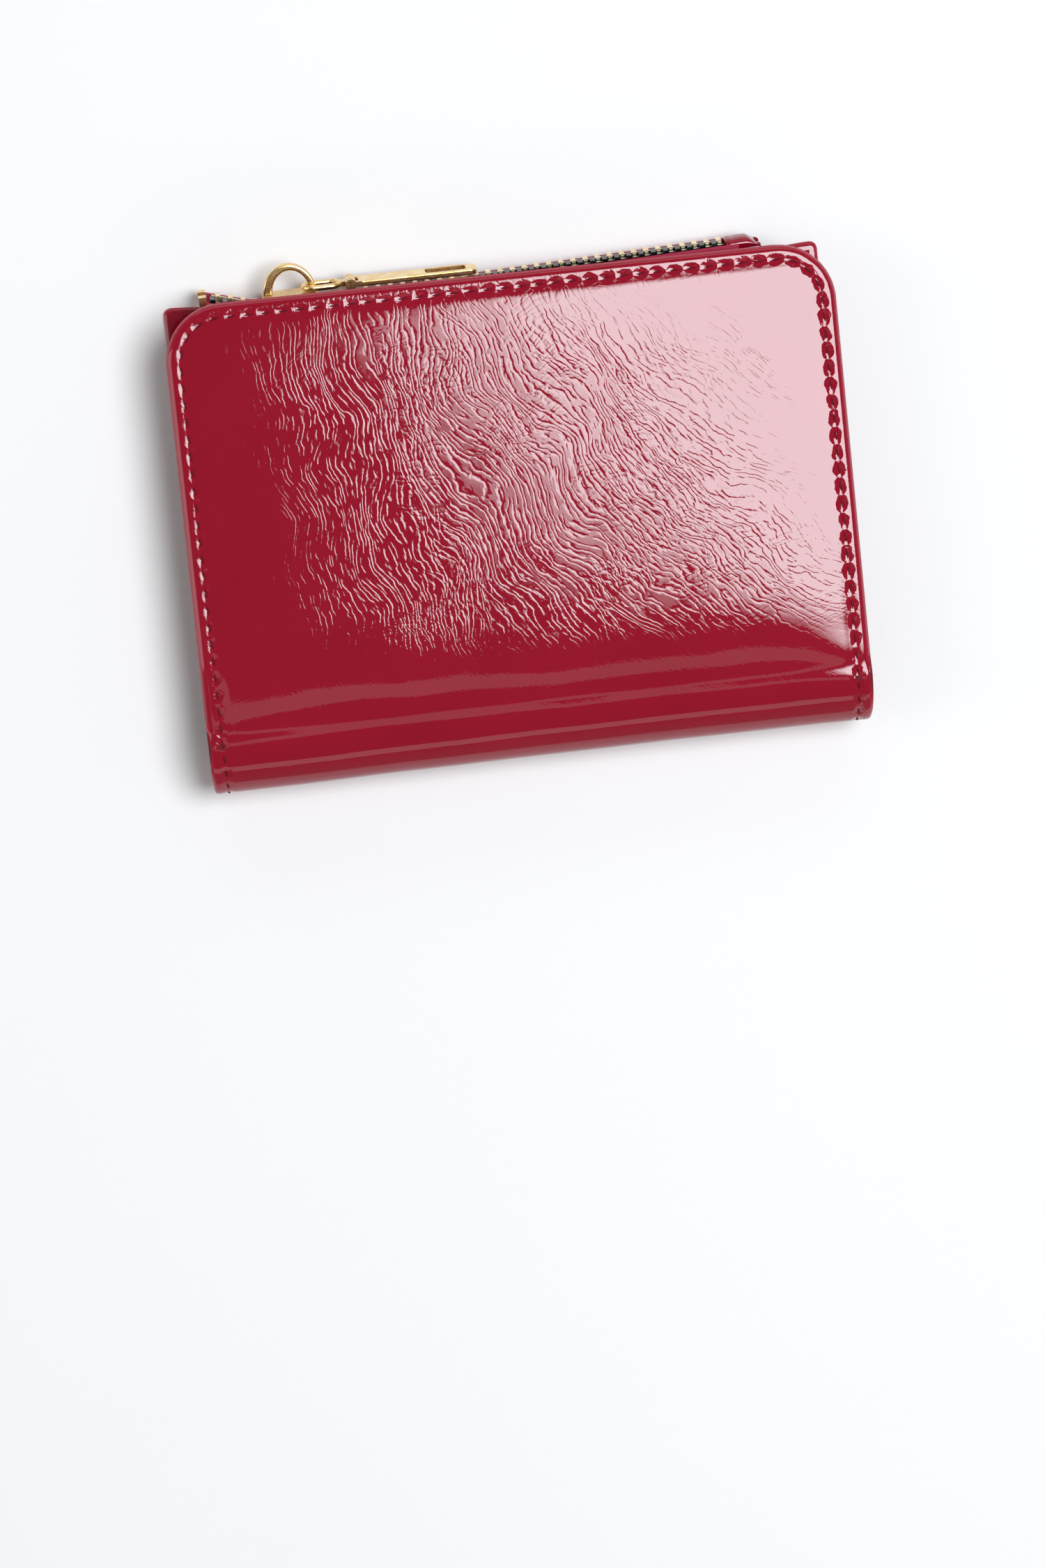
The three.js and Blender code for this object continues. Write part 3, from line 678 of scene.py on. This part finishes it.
def inner_leather():
    m = Nodes("inner_leather")
    place = m.object_place()
    seam = m.attribute("seam")
    edge, _, _ = m.split(seam)
    tone = m.noise(place, 0.09, 3.0)
    colour = m.mix(tone, (0.15, 0.003, 0.012, 1), (0.215, 0.006, 0.022, 1))
    worn = m.math("SUBTRACT", 1.0, m.ramp(edge, 0.15, 0.9))
    colour = m.mix(m.math("MULTIPLY", worn, 0.5), colour, (0.33, 0.035, 0.055, 1))
    cells = m.add("ShaderNodeTexVoronoi", Vector=place, Scale=1.7)
    cells.feature = "DISTANCE_TO_EDGE"
    grain = m.ramp(cells.outputs["Distance"], 0.0, 0.22)
    normal = m.bump(grain, 0.05 * MM)
    crease = m.math("ABSOLUTE", m.math("SUBTRACT", edge, 2.0))
    groove = m.ramp(crease, 0.0, 0.35)
    normal = m.bump(groove, 0.12 * MM, normal)
    m.link("Base Color", colour).link("Normal", normal)
    m.link("Roughness", m.math("ADD", m.math("MULTIPLY", m.noise(place, 0.7, 2.0), 0.25), 0.32))
    m.set(Specular_IOR_Level=0.3)
    return m.material


def woven(name, dark, light, pitch, roughness=0.85):
    """A plain weave with crossed threads pitch millimetres apart."""
    m = Nodes(name)
    place = m.object_place()
    x, y, z = m.split(place)
    turn = 2 * math.pi / pitch
    depth = m.math("ADD", y, z)
    warp = m.math("SINE", m.math("MULTIPLY", x, turn))
    weft = m.math("SINE", m.math("MULTIPLY", depth, turn))
    height = m.math("MULTIPLY", warp, weft)
    fuzz = m.noise(place, 3.0, 3.0)
    colour = m.mix(m.math("ADD", m.math("MULTIPLY", height, 0.3), m.math("MULTIPLY", fuzz, 0.7)), dark, light)
    normal = m.bump(height, 0.06 * MM)
    normal = m.bump(fuzz, 0.04 * MM, normal)
    m.link("Base Color", colour).link("Normal", normal)
    m.set(Roughness=roughness, Sheen_Weight=0.35, Sheen_Roughness=0.4)
    return m.material


def metal(name, colour, worn, roughness):
    """Plated metal with fine scratches and slightly rubbed spots."""
    m = Nodes(name)
    place = m.object_place()
    stretched = m.vector("MULTIPLY", place, (0.4, 3.0, 3.0))
    scratch = m.noise(stretched, 2.4, 3.0)
    rub = m.ramp(m.noise(place, 0.5, 2.0), 0.45, 0.7)
    m.link("Base Color", m.mix(rub, colour, worn))
    m.link("Roughness", m.math("ADD", m.math("MULTIPLY", scratch, 0.16), roughness))
    m.link("Normal", m.bump(scratch, 0.006 * MM))
    m.set(Metallic=1.0)
    return m.material


def fibre_board(name, dark, light):
    """Pressed fibre, seen only at the edges of the layers."""
    m = Nodes(name)
    place = m.object_place()
    fibre = m.noise(m.vector("MULTIPLY", place, (1.0, 1.0, 6.0)), 1.4, 4.0)
    m.link("Base Color", m.mix(fibre, dark, light))
    m.link("Normal", m.bump(fibre, 0.05 * MM))
    m.set(Roughness=0.9)
    return m.material


def thread():
    m = Nodes("stitch_thread")
    place = m.object_place()
    ply = m.noise(m.vector("MULTIPLY", place, (3.0, 3.0, 3.0)), 1.0, 2.0)
    m.link("Base Color", m.mix(ply, (0.085, 0.001, 0.006, 1), (0.17, 0.003, 0.014, 1)))
    m.link("Normal", m.bump(ply, 0.05 * MM))
    m.set(Roughness=0.6, Specular_IOR_Level=0.15)
    return m.material


def leather_back():
    """The flesh side of the hide: matt, with short nap."""
    m = Nodes("leather_back")
    place = m.object_place()
    nap = m.noise(place, 2.2, 4.0, 0.65)
    cloud = m.noise(place, 0.12, 3.0)
    tone = m.math("MULTIPLY_ADD", nap, 0.5, m.math("MULTIPLY", cloud, 0.5))
    m.link("Base Color", m.mix(tone, (0.11, 0.006, 0.012, 1), (0.21, 0.022, 0.034, 1)))
    m.link("Normal", m.bump(nap, 0.08 * MM))
    m.set(Roughness=0.95, Specular_IOR_Level=0.1, Sheen_Weight=0.2)
    return m.material


def floor_paint():
    m = Nodes("floor")
    place = m.object_place()
    tone = m.noise(place, 0.01, 2.0)
    m.link("Base Color", m.mix(tone, (0.90, 0.885, 0.875, 1), (0.915, 0.90, 0.89, 1)))
    m.set(Roughness=0.9, Specular_IOR_Level=0.1)
    return m.material


# ---- Stage, light and camera --------------------------------------------------------------------

PIXELS_PER_MM = 7.0  # of the 1500 by 2250 picture, at the cover
PICTURE_HEIGHT = 2250
CAMERA_DISTANCE = 1.1
VIEW_TILT = math.radians(3.5)  # the camera looks slightly down onto the zip
VIEW_YAW = math.radians(4.0)  # and stands a little to the left of the cover
VIEW_ROLL = math.radians(5.9)  # the wallet's right side stands higher in the picture
COVER_IN_PICTURE = (0, 382)  # the cover's middle, right of and above the picture's middle, in its pixels

COVER_MIDDLE = Vector((0, (cover_high.y + spine_low.y) / 2, THICKNESS))
VIEW_BACK = Vector((
    -math.sin(VIEW_YAW) * math.cos(VIEW_TILT),
    math.sin(VIEW_TILT),
    math.cos(VIEW_YAW) * math.cos(VIEW_TILT),
))
CAMERA_PLACE = COVER_MIDDLE + VIEW_BACK * CAMERA_DISTANCE


def make_floor():
    """A pale round floor that curves up into a backdrop on every side."""
    profile = ((0.01, 0), (1.0, 0), (2.0, 0), (2.6, 0.06), (3.0, 0.25), (3.3, 0.62), (3.5, 1.2), (3.6, 2.2))
    count = 64
    vertices = []
    for radius, height in profile:
        for k in range(count):
            turn = 2 * math.pi * k / count
            vertices.append((radius * math.cos(turn), radius * math.sin(turn), height - 0.05 * MM))
    faces = [tuple(range(count))]
    for i in range(len(profile) - 1):
        for k in range(count):
            a = i * count + k
            b = i * count + (k + 1) % count
            faces.append((a, a + count, b + count, b))
    new_object("floor", vertices, faces, floor_paint())


def make_camera():
    level_right = Vector((0, 1, 0)).cross(VIEW_BACK).normalized()
    level_up = VIEW_BACK.cross(level_right)
    right = level_right * math.cos(VIEW_ROLL) - level_up * math.sin(VIEW_ROLL)
    up = level_right * math.sin(VIEW_ROLL) + level_up * math.cos(VIEW_ROLL)
    pixel = MM / PIXELS_PER_MM
    aim = COVER_MIDDLE - (right * COVER_IN_PICTURE[0] + up * COVER_IN_PICTURE[1]) * pixel
    look_back = (CAMERA_PLACE - aim).normalized()
    look_right = up.cross(look_back).normalized()
    look_up = look_back.cross(look_right)
    data = bpy.data.cameras.new("camera")
    data.sensor_fit = "VERTICAL"
    data.angle = 2 * math.atan(PICTURE_HEIGHT * pixel / 2 / CAMERA_DISTANCE)
    camera = bpy.data.objects.new("camera", data)
    bpy.context.scene.collection.objects.link(camera)
    turn = Matrix((look_right, look_up, look_back)).transposed()
    camera.matrix_world = Matrix.Translation(CAMERA_PLACE) @ turn.to_4x4()
    bpy.context.scene.camera = camera


def seen_in_cover(x, y, height):
    """The place at a height whose reflection the camera sees at (x, y) of the cover."""
    spot = Vector((x, y, THICKNESS))
    run = spot - CAMERA_PLACE
    run.z = -run.z
    return spot + run * ((height - THICKNESS) / run.z)


def add_softbox(name, place, facing, size, radiance, colour=(1, 1, 1), shape="RECTANGLE"):
    """A lamp whose face has the given brightness. facing turns its own -Z towards the scene."""
    data = bpy.data.lights.new(name, "AREA")
    data.shape = shape
    data.size = size[0]
    if shape == "RECTANGLE":
        data.size_y = size[1]
    face = size[0] * size[1] * (math.pi / 4 if shape == "DISK" else 1)
    data.energy = radiance * math.pi * face
    data.color = colour
    lamp = bpy.data.objects.new(name, data)
    bpy.context.scene.collection.objects.link(lamp)
    lamp.matrix_world = Matrix.Translation(Vector(place)) @ facing.to_4x4()


def aimed(place, aim=(0, 0, 0.01)):
    return (Vector(place) - Vector(aim)).to_track_quat("Z", "Y").to_matrix()


def make_key():
    """One big round softbox overhead, level with the table. Nested discs make its rim soft.

    The cover mirrors the softbox's left side, whose rim crosses the cover on a slant.
    """
    height = 1.75
    reach = 0.52
    radiance = 12.6
    rim = seen_in_cover(-0.006, 0.040, height)
    middle = rim + Vector((0.955, 0.30, 0)) * reach
    steps = 6
    soft = 0.022
    for i in range(steps):
        radius = reach + (i - (steps - 1) / 2) * soft
        place = middle + Vector((0, 0, 0.002 * i))
        add_softbox(f"key_{i}", place, Matrix.Identity(3), (2 * radius, 2 * radius), radiance / steps,
                    (0.92, 0.96, 1.0), "DISK")


def make_lights():
    make_key()
    fold_side = (0.0, -1.5, 1.0)
    add_softbox("fold_strip", fold_side, aimed(fold_side), (1.8, 0.3), 0.9)
    over_fold = (-0.1, -0.46, 1.7)
    add_softbox("over_fold", over_fold, aimed(over_fold), (1.2, 0.14), 0.6)
    left = (-1.4, 0.1, 0.6)
    add_softbox("left_strip", left, aimed(left), (0.6, 1.4), 1.7)
    back = (0.0, 1.6, 0.9)
    add_softbox("back_fill", back, aimed(back), (1.6, 0.5), 1.0)
    world = bpy.data.worlds.new("studio")
    world.use_nodes = True
    background = world.node_tree.nodes["Background"]
    background.inputs["Color"].default_value = (0.95, 0.95, 0.96, 1)
    background.inputs["Strength"].default_value = 0.17
    bpy.context.scene.world = world
    bpy.context.scene.view_settings.view_transform = "Standard"


# ---- Putting it together ------------------------------------------------------------------------


def paint(material, *nodes):
    """Gives CAD nodes that stay in view their finished material."""
    for node in nodes:
        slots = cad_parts[node].data.materials
        slots.clear()
        slots.append(material)


def make_leather():
    patent = patent_leather()
    stitching = thread()
    build_outer_leather(patent, leather_back())
    for name, path in (("side_stitches", seam_path()), ("rear_stitches", rear_seam_path())):
        stitches = build_stitches(name, path, hide.point, stitching)
        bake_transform(stitches)
    path = seam_path()
    behind = path[path[:, 1] > hide.cover_start + 4 * MM]
    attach(build_stitches("inner_stitches", behind, cover_inside, stitching), "front_cover")


def make_inside():
    leather = inner_leather()
    build_panel("cover_lining_leather", "cover_lining", "front_cover", leather, COVER_RADIUS)
    for name in ("back", "middle", "front"):
        build_panel(f"card_pocket_{name}", f"card_slot_{name}", "front_cover", leather,
                    end_radius=2.5 * MM, sag=0.12 * MM)
    build_panel("pocket_wall_leather", "pocket_front_wall", "pocket_body", leather, 2.0 * MM)
    build_panel("bill_pocket_leather", "bill_pocket_panel", "pocket_body", leather, 2.0 * MM,
                0.1 * MM)
    for side in ("left", "right"):
        gusset = soft_copy(f"gusset_{side}", f"gusset_{side}_leather", leather)
        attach(gusset, "pocket_body")
    spine = soft_copy("spine_lining", "spine_lining_leather", leather)
    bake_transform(spine)
    lining = woven("lining_cloth", (0.05, 0.004, 0.008, 1), (0.11, 0.01, 0.02, 1), 0.5)
    cloth = soft_copy("pocket_lining", "pocket_lining_cloth", lining)
    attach(cloth, "pocket_body")
    pad = fibre_board("padding_foam", (0.62, 0.60, 0.55, 1), (0.78, 0.76, 0.70, 1))
    foam = build_panel("cover_padding_foam", "cover_padding", "front_cover", pad, COVER_RADIUS)
    board = fibre_board("fibre_board", (0.20, 0.14, 0.09, 1), (0.38, 0.29, 0.20, 1))
    paint(board, "rear_board", "pocket_front_board", "cover_board")


def make_zip():
    tape = woven("zip_tape_cloth", (0.36, 0.012, 0.05, 1), (0.62, 0.04, 0.11, 1), 0.55)
    for side in ("front", "rear"):
        cloth = soft_copy(f"zip_tape_{side}", f"zip_tape_{side}_cloth", tape)
        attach(cloth, "pocket_body")
    gold = metal("gold_plate", (0.82, 0.56, 0.23, 1), (0.90, 0.70, 0.38, 1), 0.18)
    pale = metal("pale_gold", (0.80, 0.66, 0.40, 1), (0.90, 0.80, 0.58, 1), 0.20)
    black = metal("black_nickel", (0.018, 0.020, 0.022, 1), (0.05, 0.05, 0.05, 1), 0.22)
    paint(gold, "slider_body", "slider_bridge", "pull_link", "pull_bar", "pull_pin")
    paint(gold, "snap_stud", "snap_socket", "zip_top_stop_front", "zip_top_stop_rear", "zip_bottom_stop")
    paint(black, "zip_teeth_front")
    paint(pale, "zip_teeth_rear")
    tab = build_end_tab(patent_leather("tab_leather", False))
    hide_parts("zip_end_tab")
    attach(tab, "pocket_body")


make_floor()
make_camera()
make_lights()
make_leather()
make_inside()
make_zip()
